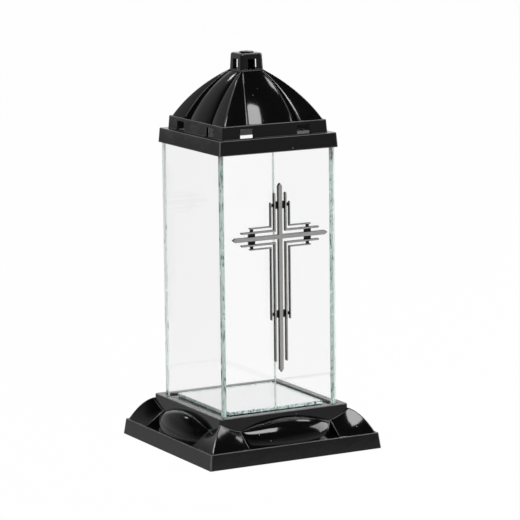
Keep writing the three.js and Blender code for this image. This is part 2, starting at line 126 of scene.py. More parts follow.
def angle(name, description, degrees):
    return FloatProperty(name=name, description=description, default=math.radians(degrees), subtype="ANGLE")


def count(name, description, default):
    return IntProperty(name=name, description=description, default=default, min=1)


def colour(name, description, *default):
    return FloatVectorProperty(
        name=name, description=description, default=default, size=3, min=0, max=1, subtype="COLOR")


class LanternBaseSizes(bpy.types.PropertyGroup):
    """Sizes of the base moulding"""

    skirt_half: length("Skirt Half", "Half width of the base at the ground", BASE_HIGH.x)
    skirt_height: length("Skirt Height", "Height of the straight band round the foot", 0.015)
    skirt_lean: length("Skirt Lean", "How far the band leans in", 0.00185)
    lip: length("Lip", "Width of the flat lip on top of the band", 0.0021)
    wall: length("Wall", "Thickness of the moulding", 0.0022)
    skirt_corner: length("Skirt Corner", "Radius of the band's upright corners", 0.0012)
    edge: length("Edge", "Radius of the moulded edges", 0.0007)
    platform_half: length("Platform Half", "Half width of the rim round the glass", GLASS_HALF + 0.008)
    platform_height: length("Platform Height", "Height of the rim round the glass", BASE_HIGH.z)
    platform_corner: length("Platform Corner", "Radius of the platform's upright corners", 0.0022)
    fascia_lean: length("Fascia Lean", "How far the fascia under the rim leans in", 0.0009)
    groove_outer: length("Groove Outer Half", "Outer half width of the panes' groove", GLASS_HALF + 0.0011)
    groove_inner: length("Groove Inner Half", "Inner half width of the panes' groove", GLASS_HALF - 0.0051)
    groove_floor: length("Groove Floor", "Height of the groove's floor", 0.0365)
    ledge_height: length("Ledge Height", "Height of the sunken ledge that the mirror lies on", 0.0395)
    lobe_half_length: length("Lobe Half Length", "Half length of each bulging lobe", 0.0475)
    lobe_end: length("Lobe End", "Height of a lobe at its ends", 0.0128)
    lobe_crown: length("Lobe Crown", "Height of a lobe in its middle", 0.0219)
    lobe_round: share("Lobe Roundness", "How far the lobe's plan curves back at its ends", 0.99)
    flare_edge: length("Flare Edge", "Height of a corner flare beside the lobe", 0.0134)
    flare_ridge: length("Flare Ridge", "Height of a corner flare on its ridge", 0.0223)
    flare_bulge: length("Flare Bulge", "How far the ridge bulges over a straight line", 0.0038)
    flare_hollow: number("Flare Hollow", "Power that hollows the flare between edge and ridge", 1.6)
    ridge_radius: length("Ridge Radius", "Radius across the flare's ridge", 0.0014)


class LanternLidSizes(bpy.types.PropertyGroup):
    """Sizes of the lid moulding; heights are over the underside of its ledge"""

    ledge_underside: length("Ledge Underside", "Height of the ledge on the panes", FRONT_HIGH.z + 0.0003)
    wall: length("Wall", "Thickness of the moulding", 0.0016)
    edge: length("Edge", "Radius of the moulded edges", 0.0007)
    collar_half: length("Collar Half", "Half width of the collar at the ledge", GLASS_HALF + 0.0016)
    collar_inner: length("Collar Inner Half", "Half width in the collar at the ledge", GLASS_HALF + 0.0004)
    collar_depth: length("Collar Depth", "How far the collar reaches down over the glass", 0.0122)
    collar_lean: length("Collar Lean", "How far the collar leans in", 0.001)
    collar_draft: length("Collar Draft", "How far the inside of the collar leans in", 0.0007)
    corner: length("Corner", "Radius of the upright corners", 0.001)
    band_half: length("Band Half", "Half width of the vented band", GLASS_HALF - 0.0045)
    band_lean: length("Band Lean", "How far the band leans in", 0.0008)
    band_height: length("Band Height", "Height of the vented band", 0.012)
    vent_width: length("Vent Width", "Width of one window in the band", 0.0135)
    vent_height: length("Vent Height", "Height of one window in the band", 0.0088)
    vent_spacing: length("Vent Spacing", "Distance between the two windows of a side", GLASS_HALF)
    vent_edge: length("Vent Edge", "Chamfer round a window", 0.0004)
    dome_foot: length("Dome Foot Half", "Half width of the dome at its foot", GLASS_HALF - 0.0075)
    dome_top: length("Dome Top Half", "Half width of the dome at its top", 0.0114)
    dome_height: length("Dome Height", "Height of the dome", 0.045)
    dome_bulge: length("Dome Bulge", "How far the dome bulges over a straight line", 0.0037)
    rib_foot: length("Rib Foot Offset", "Distance of a rib from the side's middle at the foot", 0.0278)
    rib_top: length("Rib Top Offset", "Distance of a rib from the side's middle at the top", 0.0095)
    chimney_half: length("Chimney Half", "Half width of the chimney", 0.0121)
    chimney_height: length("Chimney Height", "Height of the chimney", 0.0157)
    chimney_lean: length("Chimney Lean", "How far the chimney leans in", 0.0007)
    chimney_corner: length("Chimney Corner", "Radius of the chimney's upright corners", 0.003)
    chimney_edge: length("Chimney Edge", "Radius of the chimney's top edges", 0.0022)
    chimney_fillet: length("Chimney Fillet", "Fillet between chimney and dome", 0.0005)
    boss_radius: length("Boss Radius", "Radius of the low boss on the chimney", 0.0074)
    boss_height: length("Boss Height", "Height of the low boss on the chimney", 0.0014)
    gate_radius: length("Gate Radius", "Radius of the moulding gate's dimple", 0.0009)
    slot_width: length("Slot Width", "Width of a slot in the chimney", 0.0093)
    slot_height: length("Slot Height", "Height of a slot in the chimney", 0.0093)
    slot_sill: length("Slot Sill", "Height of a slot over the dome", 0.001)


class LanternGlassSizes(bpy.types.PropertyGroup):
    """Sizes of the panes, their adhesive and the mirror"""

    seam: length("Seamed Edge", "Chamfer on the panes' cut edges", 0.0004)
    bubble_length: length("Bubble Length", "Longest bubble in the corner joints", 0.0034)
    bubble_width: length("Bubble Width", "Width of a bubble in the corner joints", 0.0011)
    bubbles: count("Bubbles", "Bubbles in each corner joint", 46)
    chip: length("Chip", "Deepest chip in the mirror's rough edge", 0.0006)


class LanternCrossSizes(bpy.types.PropertyGroup):
    """Sizes of the cross; distances are from the middle of its main bars"""

    depth: length("Depth", "Thickness of the cross", CROSS_HIGH.y - CROSS_LOW.y)
    arm: length("Arm", "Length of the side arms and the top arm", CROSS_HIGH.x)
    foot: length("Foot", "Length of the bottom arm", CROSS_HIGH.z - CROSS_LOW.z - CROSS_HIGH.x)
    chamfer: length("Chamfer", "Chamfer on the front edges", 0.00022)
    main_width: length("Main Width", "Width of the main bars", 0.004)
    main_tip: length("Main Tip", "Length of the main bars' points", 0.0026)
    inner_width: length("Inner Width", "Width of the inner bars", 0.0018)
    inner_offset: length("Inner Offset", "Distance of the inner bars from the middle", 0.00585)
    inner_step: length("Inner Step", "How much shorter the inner bars' arms are", 0.0087)
    inner_foot_step: length("Inner Foot Step", "How much shorter the inner bars' feet are", 0.01)
    outer_width: length("Outer Width", "Width of the outer bars", 0.0012)
    outer_offset: length("Outer Offset", "Distance of the outer bars from the middle", 0.0098)
    outer_step: length("Outer Step", "How much shorter the outer bars' arms are", 0.0174)
    outer_foot_step: length("Outer Foot Step", "How much shorter the outer bars' feet are", 0.0495)
    web_depth: length("Web Depth", "Thickness of the low webs", 0.0014)
    web_width: length("Web Width", "Width of the webs to the inner bars", 0.007)
    web_outer_width: length("Outer Web Width", "Width of the webs to the outer bars", 0.003)
    web_arm: length("Web Arm", "Distance of the webs along the arms", 0.0293)
    web_foot: length("Web Foot", "Distance of the webs down the foot", 0.0725)


class LanternColours(bpy.types.PropertyGroup):
    """Colours of the finishes"""

    plastic: colour("Plastic", "Black of the mouldings", 0.0035, 0.0035, 0.0038)
    # A painted highlight: lighter plastic on sharp outer edges, in place of the light that they catch
    highlight_colour: colour("Painted Edge Highlight", "Plastic where an outer edge catches the light", 0.11, 0.11, 0.115)
    dust: colour("Dust", "Specks of dust", 0.22, 0.22, 0.21)
    cut_glass: colour("Cut Glass", "Darkest of the streaks along a pane's cut edge", 0.66, 0.80, 0.77)
    silver: colour("Silver", "Silvering of the mirror", 0.915, 0.925, 0.92)
    foil: colour("Foil", "Stamped foil on the cross", 0.62, 0.62, 0.61)
    adhesive: colour("Adhesive", "Clear adhesive", 0.86, 0.91, 0.89)
    floor: colour("Floor", "Floor of the studio", 0.82, 0.82, 0.82)


class LanternStageSizes(bpy.types.PropertyGroup):
    """Camera and studio"""

    azimuth: angle("Azimuth", "Camera's turn round the lantern", -28.40)
    elevation: angle("Elevation", "Camera's height as an angle", 9.88)
    roll: angle("Roll", "Camera's roll", -0.647)
    distance: length("Distance", "Camera's distance from its aim", 2.8323)
    aim_side: length("Aim Side", "How far the aim is to the right of the axis", 0.0106)
    aim_height: length("Aim Height", "Height of the aim", 0.1740)
    lens: FloatProperty(name="Lens", description="Focal length", default=208.52, unit="CAMERA")
    floor_radius: length("Floor Radius", "Radius of the floor", 5.0)


def arithmetic(operation, swapped=False):
    """A method that puts a math node between a term and another value."""
    def method(term, other):
        values = (other, term) if swapped else (term, other)
        return term.recipe.maths(operation, *values)
    return method


class Term:
    """A value in a node tree, so that a formula made of nodes reads as a formula."""

    def __init__(self, recipe, socket):
        self.recipe = recipe
        self.socket = socket

    __add__, __radd__ = arithmetic("ADD"), arithmetic("ADD", swapped=True)
    __sub__, __rsub__ = arithmetic("SUBTRACT"), arithmetic("SUBTRACT", swapped=True)
    __mul__, __rmul__ = arithmetic("MULTIPLY"), arithmetic("MULTIPLY", swapped=True)
    __truediv__, __pow__ = arithmetic("DIVIDE"), arithmetic("POWER")


class Recipe:
    """Adds nodes to a tree and links them; a colour is given without its alpha."""

    def __init__(self, tree, ending):
        self.tree = tree
        self.results = self.node(ending).inputs

    def node(self, kind, inputs=None, **settings):
        node = self.tree.nodes.new(kind)
        for name, value in settings.items():
            setattr(node, name, value)
        for name, value in (inputs or {}).items():
            self.feed(node.inputs[name], value)
        return node

    def feed(self, socket, value):
        if isinstance(value, Term):
            self.tree.links.new(value.socket, socket)
        else:
            socket.default_value = (*value, 1.0) if socket.type == "RGBA" else value

    def parts(self, kind, inputs, *outputs, **settings):
        """Several outputs of a new node."""
        node = self.node(kind, inputs, **settings)
        return [Term(self, node.outputs[output]) for output in outputs]

    def made(self, kind, inputs=None, output=0, **settings):
        """One output of a new node."""
        return self.parts(kind, inputs, output, **settings)[0]

    def ended(self, **results):
        """Feeds the tree's results, and gives the tree."""
        for name, value in results.items():
            self.feed(self.results[name], value)
        return self.tree

    def maths(self, operation, *values, clamp=False):
        return self.made("ShaderNodeMath", dict(enumerate(values)), operation=operation, use_clamp=clamp)

    def clamped(self, value):
        return self.maths("ADD", value, 0, clamp=True)

    def ramp(self, value, start, end):
        """Nought at the start and before, one at the end and after, and even between them."""
        return self.clamped((value - start) / (end - start))

    def root(self, value):
        return self.maths("SQRT", value)

    def larger(self, first, second):
        return self.maths("MAXIMUM", first, second)

    def noise(self, place, scale, detail, **more):
        return self.made("ShaderNodeTexNoise", {"Vector": place, "Scale": scale, "Detail": detail, **more})

    def mixed(self, factor, first, second):
        return self.made("ShaderNodeMix", {0: factor, 6: first, 7: second}, output=2, data_type="RGBA")

    def blended(self, factor, first, second):
        return self.made("ShaderNodeMixShader", {0: factor, 1: first, 2: second})

    def copies(self, thing, points, **placing):
        """A copy of the thing on every point."""
        return self.made("GeometryNodeInstanceOnPoints", {"Points": points, "Instance": thing, **placing})

    def in_material(self, geometry, material):
        """Ends the tree with the geometry in one material."""
        return self.ended(Geometry=self.made(
            "GeometryNodeSetMaterial", {"Geometry": geometry, "Material": material}))


SOCKETS = {
    "Geometry": "NodeSocketGeometry", "Material": "NodeSocketMaterial", "Vector": "NodeSocketVector",
    "Value": "NodeSocketFloat", int: "NodeSocketInt", float: "NodeSocketFloat",
}


def new_tree(name, kind, inputs, outputs):
    """A node tree with named inputs and outputs; a plain number gives its input's default."""
    tree = bpy.data.node_groups.new(name, kind)
    for label, default in inputs.items():
        given_kind = isinstance(default, str)
        socket_type = SOCKETS[default if given_kind else type(default)]
        socket = tree.interface.new_socket(name=label, in_out="INPUT", socket_type=socket_type)
        if not given_kind:
            socket.default_value = default
    for label, output in outputs.items():
        tree.interface.new_socket(name=label, in_out="OUTPUT", socket_type=SOCKETS[output])
    recipe = Recipe(tree, "NodeGroupOutput")
    return recipe, dict(zip(inputs, recipe.parts("NodeGroupInput", None, *inputs)))


def new_mesh_tree(name, inputs):
    return new_tree(
        name, "GeometryNodeTree", {"Geometry": "Geometry", **inputs, "Material": "Material"},
        {"Geometry": "Geometry"})


def sides_tree():
    """Copies its geometry to every side of a square, evenly spaced along each side."""
    recipe, given = new_mesh_tree("Repeat On Sides", {"Sides": SIDES, "Per Side": 1, "Spacing": 0.0})
    start = given["Spacing"] * (given["Per Side"] - 1.0) / -2.0
    row = recipe.made("GeometryNodeMeshLine", {
        "Count": given["Per Side"], "Start Location": recipe.made("ShaderNodeCombineXYZ", {"Y": start}),
        "Offset": recipe.made("ShaderNodeCombineXYZ", {"Y": given["Spacing"]}),
    })
    hub = recipe.made("GeometryNodeMeshLine", {"Count": given["Sides"], "Offset": (0.0, 0.0, 0.0)})
    turn = recipe.made("GeometryNodeInputIndex") * (2 * math.pi) / given["Sides"]
    rotation = recipe.made("FunctionNodeAxisAngleToRotation", {"Axis": (0.0, 0.0, 1.0), "Angle": turn})
    all_sides = recipe.copies(recipe.copies(given["Geometry"], row), hub, Rotation=rotation)
    return recipe.in_material(
        recipe.made("GeometryNodeRealizeInstances", {"Geometry": all_sides}), given["Material"])


def dome_tree():
    """A four-sided dome whose every side has a lobe between two valleys and two ribs."""
    recipe, given = new_mesh_tree("Fluted Dome", {
        "Foot Half": 0.05, "Top Half": 0.01, "Foot Height": 0.0, "Dome Height": 0.04, "Bulge": 0.003,
        "Rib Foot": 0.028, "Rib Top": 0.009, "Rib Spread Power": 0.9, "Flank Share": 0.085,
        "Valley Share": 0.135, "Rib Share": 0.012, "Corner Swell Share": 0.012, "Lobe Swell Share": 0.94,
        "Softness": 0.35, "Inset": 0.0, "Drop": 0.0, "Sink": 0.001, "Columns": 97, "Rows": 60,
    })
    foot, top, inset = given["Foot Half"], given["Top Half"], given["Inset"]
    tall, rib_top = given["Dome Height"], given["Rib Top"]
    grid = recipe.made("GeometryNodeMeshGrid", {
        "Size X": 2.0, "Size Y": 1.0, "Vertices X": given["Columns"], "Vertices Y": given["Rows"]})
    sideways, upwards = recipe.parts(
        "ShaderNodeSeparateXYZ", {0: recipe.made("GeometryNodeInputPosition")}, "X", "Y")
    width = recipe.maths("ABSOLUTE", sideways)
    last = given["Rows"] - 1.0
    row = (upwards + 0.5) * last

    # The end rows close on the axis, the next two make the sunk foot, and the rest climb the dome
    open_share = recipe.clamped(recipe.maths("MINIMUM", row, last - row))
    foot_share = 1.0 - recipe.clamped(row - 1.0)
    climb = recipe.clamped((row - 2.0) / (last - 3.0))

    run = foot - top
    chord = recipe.root(run * run + tall * tall)
    swell = given["Bulge"] * 4.0 * climb * (1.0 - climb)
    half = foot - run * climb + swell * tall / chord
    rise = tall * climb + swell * run / chord

    # Half a side from its middle: the lobe, the flank up to the rib, the panel, and the turn at the corner
    lobe_share, flank_share, panel_share, turn_share = (
        recipe.ramp(width, start, end) for start, end in zip(DOME_STOPS, DOME_STOPS[1:]))
    spread = recipe.larger(half - top, 0.0) / run
    rib = rib_top + (given["Rib Foot"] - rib_top) * spread ** given["Rib Spread Power"]
    flank = half * given["Flank Share"]
    corner_share = panel_share * (1 - DOME_TURN_SHARE) + turn_share * DOME_TURN_SHARE
    cut = (half - rib) * DOME_CUT_SHARE * turn_share * turn_share
    across = (rib - flank) * lobe_share + flank * flank_share + (half - rib) * corner_share - cut

    valley_out = half * (1.0 - given["Valley Share"])
    rib_out = half * (1.0 - given["Rib Share"])

    def lobe_at(position):
        fallen = (given["Lobe Swell Share"] * position) ** 2.0
        return valley_out + (half - valley_out) * recipe.root(1.0 - fallen)

    smooth = flank_share * flank_share * (3.0 - flank_share * 2.0)
    rounded_flank = flank_share + (smooth - flank_share) * given["Softness"]
    out = (
        lobe_at(lobe_share) + (rib_out - lobe_at(1.0)) * rounded_flank + (half - rib_out) * corner_share
        + half * given["Corner Swell Share"] * 4.0 * corner_share * (1.0 - corner_share) - cut
    )
    shrink = (out - inset) / out * open_share
    position = recipe.made("ShaderNodeCombineXYZ", {
        "X": out * shrink, "Y": across * shrink * recipe.maths("SIGN", sideways),
        "Z": given["Foot Height"] + rise - given["Drop"] - given["Sink"] * foot_share,
    })
    side = recipe.made("GeometryNodeSetPosition", {"Geometry": grid, "Position": position})
    sides = recipe.made("GeometryNodeGroup", {"Geometry": side}, node_tree=tree_named("Repeat On Sides"))
    closed = recipe.made("GeometryNodeMergeByDistance", {"Geometry": sides, "Distance": WELD_DISTANCE})
    return recipe.in_material(closed, given["Material"])


def bubble_tree():
    """Scatters flat bubbles up the middle of a joint."""
    recipe, given = new_mesh_tree("Joint Bubbles", {
        "Count": 40, "Low": "Vector", "High": "Vector", "Longest": 0.003, "Width": 0.001, "Thickness": 0.0003,
        "Seed": 1,
    })
    rail = recipe.made("GeometryNodeMeshLine", {"Count": given["Count"]})
    spot = recipe.made("FunctionNodeRandomValue", {
        0: given["Low"], 1: given["High"], "Seed": given["Seed"]}, data_type="FLOAT_VECTOR")
    placed = recipe.made("GeometryNodeSetPosition", {"Geometry": rail, "Position": spot})
    share_of_longest = recipe.made("FunctionNodeRandomValue", {
        2: 0.15, 3: 1.0, "Seed": given["Seed"] + 1.0}, output=1, data_type="FLOAT")
    scale = recipe.made("ShaderNodeCombineXYZ", {
        "X": given["Width"] * recipe.root(share_of_longest), "Y": given["Thickness"],
        "Z": given["Longest"] * share_of_longest * share_of_longest,
    })
    ball = recipe.made("GeometryNodeMeshIcoSphere", {"Radius": 0.5, "Subdivisions": 2})
    bubbles = recipe.copies(ball, placed, Scale=scale)
    return recipe.in_material(
        recipe.made("GeometryNodeRealizeInstances", {"Geometry": bubbles}), given["Material"])


def dust_tree():
    """A mask of fine specks: one on a speck, nought beside it."""
    recipe, given = new_tree(
        "Dust Specks", "ShaderNodeTree", {"Vector": "Vector", "Cells": 300.0, "Amount": 0.1, "Size": 0.3},
        {"Mask": "Value"})
    chances, distance = recipe.parts(
        "ShaderNodeTexVoronoi", {"Vector": given["Vector"], "Scale": given["Cells"], "Randomness": 1.0},
        "Color", "Distance", voronoi_dimensions="3D")
    chosen, size = recipe.parts("ShaderNodeSeparateColor", {"Color": chances}, 0, 1)
    is_speck = recipe.maths("LESS_THAN", chosen, given["Amount"])
    return recipe.ended(Mask=is_speck * recipe.maths("LESS_THAN", distance, given["Size"] * size))


def ripple_tree():
    """A normal that wavers as a moulded or rolled surface does, and a slow mottle."""
    recipe, given = new_tree(
        "Fine Ripple", "ShaderNodeTree",
        {"Vector": "Vector", "Scale": 60.0, "Grain Scale": 900.0, "Grain Share": 0.1, "Height": 0.0001},
        {"Normal": "Vector", "Mottle": "Value"})
    slow = recipe.noise(given["Vector"], given["Scale"], 2.0)
    grain = recipe.noise(given["Vector"], given["Grain Scale"], 3.0)
    bump = recipe.made("ShaderNodeBump", {
        "Strength": 1.0, "Distance": given["Height"], "Height": slow + grain * given["Grain Share"]})
    return recipe.ended(Normal=bump, Mottle=slow)


TREE_MAKERS = {
    "Repeat On Sides": sides_tree, "Fluted Dome": dome_tree, "Joint Bubbles": bubble_tree,
    "Dust Specks": dust_tree, "Fine Ripple": ripple_tree,
}


def tree_named(name):
    return bpy.data.node_groups.get(name) or TREE_MAKERS[name]()


class Finish(Recipe):
    """The recipe of a material, laid on in the object's own coordinates."""

    def __init__(self, name):
        self.material = bpy.data.materials.new(name)
        self.material.use_nodes = True
        self.material.node_tree.nodes.clear()
        super().__init__(self.material.node_tree, "ShaderNodeOutputMaterial")
        self.place = self.made("ShaderNodeTexCoord", output="Object")
        self.colours = bpy.context.scene.lantern_colours

    def stretched(self, *scale):
        return self.made("ShaderNodeMapping", {"Vector": self.place, "Scale": scale})

    def ripple(self, scale, grain_scale, grain_share, height, place=None):
        """The normal and the mottle of a surface that wavers."""
        return self.parts("ShaderNodeGroup", {
            "Vector": place or self.place, "Scale": scale, "Grain Scale": grain_scale,
            "Grain Share": grain_share, "Height": height,
        }, "Normal", "Mottle", node_tree=tree_named("Fine Ripple"))

    def specks(self, cells, amount, size):
        return self.made("ShaderNodeGroup", {
            "Vector": self.place, "Cells": cells, "Amount": amount, "Size": size,
        }, output="Mask", node_tree=tree_named("Dust Specks"))

    def marks(self, place, scale, detail, low, high, **more):
        """Marks in a noise: nought up to its low value and one from its high value on."""
        noise = self.noise(place, scale, detail, **more)
        return self.made("ShaderNodeMapRange", {
            0: noise, "From Min": low, "From Max": high, "To Min": 0.0, "To Max": 1.0})

    def surface(self, sockets, tint=None):
        """Ends the material; a tint lets lamps through, so that they light what stands behind the glass."""
        shader = self.made("ShaderNodeBsdfPrincipled", sockets)
        if tint is not None:
            clear = self.made("ShaderNodeBsdfTransparent", {"Color": tint})
            shader = self.blended(self.made("ShaderNodeLightPath", output="Is Shadow Ray"), shader, clear)
        self.ended(Surface=shader)


def gloss_plastic(finish):
    """Black plastic as it leaves a polished mould, with a little dust on it and a painted highlight along its
    sharp outer edges.
    """
    normal, mottle = finish.ripple(scale=45.0, grain_scale=2200.0, grain_share=0.02, height=0.00022)
    dust = finish.specks(cells=420.0, amount=0.014, size=0.24)
    # The marked sharp outer edges take a lighter colour, a painted highlight
    edges = finish.made("ShaderNodeAttribute", output="Fac", attribute_name=PAINTED_EDGE_HIGHLIGHTS)
    plastic_with_highlights = finish.mixed(edges, finish.colours.plastic, finish.colours.highlight_colour)
    finish.surface({
        "Base Color": finish.mixed(dust, plastic_with_highlights, finish.colours.dust),
        "Roughness": 0.06 + mottle * 0.06 + dust * 0.5, "IOR": 1.5, "Normal": normal,
    })


def unpolished_plastic(finish):
    """The same plastic inside the lid, where the mould isn't polished."""
    grain = finish.noise(finish.place, scale=900.0, detail=3.0)
    finish.surface({
        "Base Color": finish.mixed(grain, finish.colours.plastic, (0.007, 0.007, 0.0075)),
        "Roughness": 0.5 + grain * 0.2, "IOR": 1.5, "Specular IOR Level": 0.15,
    })


def clear_pane_glass(finish):
    """Clear float glass with a faint waver."""
    normal, _ = finish.ripple(scale=9.0, grain_scale=40.0, grain_share=0.0, height=0.0001)
    finish.surface({
        "Base Color": WHITE, "Roughness": 0.0, "IOR": 1.46, "Transmission Weight": 1.0, "Normal": normal,
    }, tint=(0.93, 0.95, 0.94))


def cut_glass_edge(finish):
    """The cut and seamed edge of a pane: frosted, half see-through, with streaks and dark marks."""
    stretched = finish.stretched(1.0, 1.0, 0.25)
    normal, mottle = finish.ripple(
        scale=700.0, grain_scale=2500.0, grain_share=0.2, height=0.0004, place=stretched)
    streaks = finish.clamped(mottle * 1.6 - 0.3)
    dark = finish.marks(stretched, scale=330.0, detail=2.0, low=0.58, high=0.63)
    pale = finish.mixed(streaks, finish.colours.cut_glass, (0.95, 0.98, 0.97))
    finish.surface({
        "Base Color": finish.mixed(dark, pale, (0.04, 0.08, 0.075)),
        "Roughness": 0.3, "IOR": 1.52, "Alpha": 0.55, "Normal": normal,
    }, tint=(0.86, 0.93, 0.915))


def rough_mirror_edge(finish):
    """The broken edge of the mirror: pale green glass with dark nicks."""
    normal, _ = finish.ripple(scale=420.0, grain_scale=1500.0, grain_share=0.6, height=0.0012)
    dark = finish.marks(finish.place, scale=520.0, detail=4.0, low=0.50, high=0.56, Roughness=0.8)
    finish.surface({
        "Base Color": finish.mixed(dark, (0.66, 0.78, 0.77), (0.02, 0.04, 0.038)),
        "Roughness": 0.32, "IOR": 1.52, "Normal": normal,
    })


def mirror_silvering(finish):
    """The silvered back of the mirror."""
    normal, _ = finish.ripple(scale=14.0, grain_scale=50.0, grain_share=0.0, height=0.00004)
    dust = finish.specks(cells=260.0, amount=0.03, size=0.22)
    finish.surface({
        "Base Color": finish.mixed(dust, finish.colours.silver, (0.5, 0.52, 0.51)),
        "Roughness": 0.01, "Metallic": 1.0, "Normal": normal,
    })


def set_adhesive(finish):
    """Set adhesive, clear and a little cloudy."""
    cloud = finish.noise(finish.place, scale=160.0, detail=3.0)
    finish.surface({
        "Base Color": finish.colours.adhesive, "IOR": 1.45, "Transmission Weight": 1.0,
        "Roughness": 0.05 + cloud * 0.35,
    }, tint=finish.colours.adhesive)


def groove_adhesive(finish):
    """The bedding in the groove: it takes the black of the plastic round it."""
    cloud = finish.noise(finish.place, scale=300.0, detail=3.0)
    finish.surface({
        "Base Color": finish.mixed(cloud, (0.004, 0.005, 0.005), (0.02, 0.024, 0.023)),
        "IOR": 1.3, "Roughness": 0.45 + cloud * 0.2,
    })


def joint_bubble(finish):
    """The glint in a bubble of the corner joint."""
    shades = finish.noise(finish.place, scale=400.0, detail=1.0)
    finish.surface({
        "Base Color": finish.mixed(shades, (0.008, 0.03, 0.028), (0.30, 0.36, 0.30)),
        "Roughness": 0.12, "IOR": 1.3,
    })


def stamped_foil(finish):
    """Satin silver foil, hot stamped on the raised faces of the cross."""
    brushed = finish.stretched(1.0, 1.0, 6.0)
    normal, mottle = finish.ripple(
        scale=120.0, grain_scale=1400.0, grain_share=0.25, height=0.00015, place=brushed)
    worn = finish.specks(cells=500.0, amount=0.06, size=0.35) * 0.6
    finish.surface({
        "Base Color": finish.mixed(worn, finish.colours.foil, finish.colours.plastic),
        "Roughness": 0.30 + mottle * 0.15, "Metallic": 0.75, "Normal": normal,
    })


def studio_floor(finish):
    """A pale floor that camera and glass see as white, and gloss sees dimmer; it keeps the shadow."""
    camera, through, glossy, depth = finish.parts(
        "ShaderNodeLightPath", None, "Is Camera Ray", "Is Transmission Ray", "Is Glossy Ray", "Glossy Depth")
    shown = finish.larger(finish.larger(camera, through), glossy)
    mirrored = finish.maths("GREATER_THAN", depth, 0.5)
    away = finish.made("ShaderNodeVectorMath", {0: finish.place}, output="Value", operation="LENGTH")
    near = finish.ramp(away, FLOOR_NEAR, 0.0)
    in_gloss = FLOOR_DIM_IN_GLOSS - near * FLOOR_BRIGHTER_NEAR
    glow = 1.0 - mirrored * (through * FLOOR_DIM_IN_GLASS + (1.0 - through) * in_gloss)
    matt = finish.made("ShaderNodeBsdfPrincipled", {
        "Base Color": finish.colours.floor, "Roughness": 1.0, "Specular IOR Level": 0.0})
    white = finish.made("ShaderNodeEmission", {"Color": WHITE, "Strength": glow})
    finish.ended(Surface=finish.blended(shown * FLOOR_WHITENESS, matt, white))


MATERIAL_MAKERS = {
    "polished_black_plastic": gloss_plastic, "unpolished_plastic": unpolished_plastic,
    "float_glass": clear_pane_glass, "cut_glass_edge": cut_glass_edge, "rough_mirror_edge": rough_mirror_edge,
    "mirror_silvering": mirror_silvering, "set_adhesive": set_adhesive, "groove_adhesive": groove_adhesive,
    "joint_bubble": joint_bubble, "stamped_foil": stamped_foil, "studio_floor": studio_floor,
}


def finish_named(name):
    if name not in bpy.data.materials:
        MATERIAL_MAKERS[name](Finish(name))
    return bpy.data.materials[name]


def link(name, mesh):
    piece = bpy.data.objects.new(name, mesh)
    bpy.context.scene.collection.objects.link(piece)
    return piece


def solid(name, points, faces):
    """An object from points and faces, with its faces turned outwards."""
    mesh = bpy.data.meshes.new(name)
    mesh.from_pydata([tuple(point) for point in points], [], faces)
    skin = bmesh.new()
    skin.from_mesh(mesh)
    bmesh.ops.recalc_face_normals(skin, faces=skin.faces)
    skin.to_mesh(mesh)
    skin.free()
    return link(name, mesh)


def keep_result(piece):
    """Keeps what the piece's modifiers make as its own mesh."""
    bpy.context.view_layer.update()
    result = bpy.data.meshes.new_from_object(piece.evaluated_get(bpy.context.evaluated_depsgraph_get()))
    piece.modifiers.clear()
    piece.data = result
    return piece


def combine(piece, operation, others):
    """Joins the others to a piece, or cuts them from it, and takes them away."""
    for other in others:
        modifier = piece.modifiers.new(operation, "BOOLEAN")
        modifier.operation = operation
        modifier.solver = "MANIFOLD"
        modifier.object = other
    keep_result(piece)
    for other in others:
        bpy.data.objects.remove(other)
    return piece


def grow(piece, tree_name, values):
    """Runs a node tree on a piece and keeps the result as its mesh."""
    tree = tree_named(tree_name)
    modifier = piece.modifiers.new(tree_name, "NODES")
    modifier.node_group = tree
    for item in tree.interface.items_tree:
        if item.item_type == "SOCKET" and item.in_out == "INPUT" and item.name in values:
            modifier[item.identifier] = values[item.name]
    return keep_result(piece)


def on_all_sides(piece, finish, per_side=1, spacing=0.0):
    return grow(piece, "Repeat On Sides", {"Per Side": per_side, "Spacing": spacing, "Material": finish})


def square_outline(half, height, radius, steps=6):
    """A square with rounded corners, at one height."""
    outline = []
    reach = (half - radius) * math.sqrt(2)
    for side in range(SIDES):
        corner = (side + 0.5) * QUARTER_TURN
        for step in range(steps + 1):
            turn = (side + step / steps) * QUARTER_TURN
            outline.append((
                reach * math.cos(corner) + radius * math.cos(turn),
                reach * math.sin(corner) + radius * math.sin(turn),
                height,
            ))
    return outline


def ring_solid(name, rings):
    """A closed skin through rings of equal counts, with a flat face at each end."""
    size = len(rings[0])
    points = [point for ring in rings for point in ring]
    faces = [tuple(range(size)), tuple(range(len(points) - size, len(points)))]
    for level in range(len(rings) - 1):
        low, high = level * size, (level + 1) * size
        for index in range(size):
            after = (index + 1) % size
            faces.append((low + index, low + after, high + after, high + index))
    return solid(name, points, faces)


def softened(profile, radius, steps=4):
    """A profile of (half width, height, corner radius) points, with its inner points rounded off."""
    profile = [Vector(point) for point in profile]
    rounded = [profile[0]]
    for before, corner, after in zip(profile, profile[1:], profile[2:]):
        way_in, way_out = before - corner, after - corner
        reach = min(radius, way_in.length / 2, way_out.length / 2)
        start = corner + way_in.normalized() * reach
        end = corner + way_out.normalized() * reach
        for step in range(steps + 1):
            along = step / steps
            rounded.append(start.lerp(corner, along).lerp(corner.lerp(end, along), along))
    return [*rounded, profile[-1]]


def square_solid(name, profile):
    return ring_solid(name, [square_outline(half, height, radius) for half, height, radius in profile])


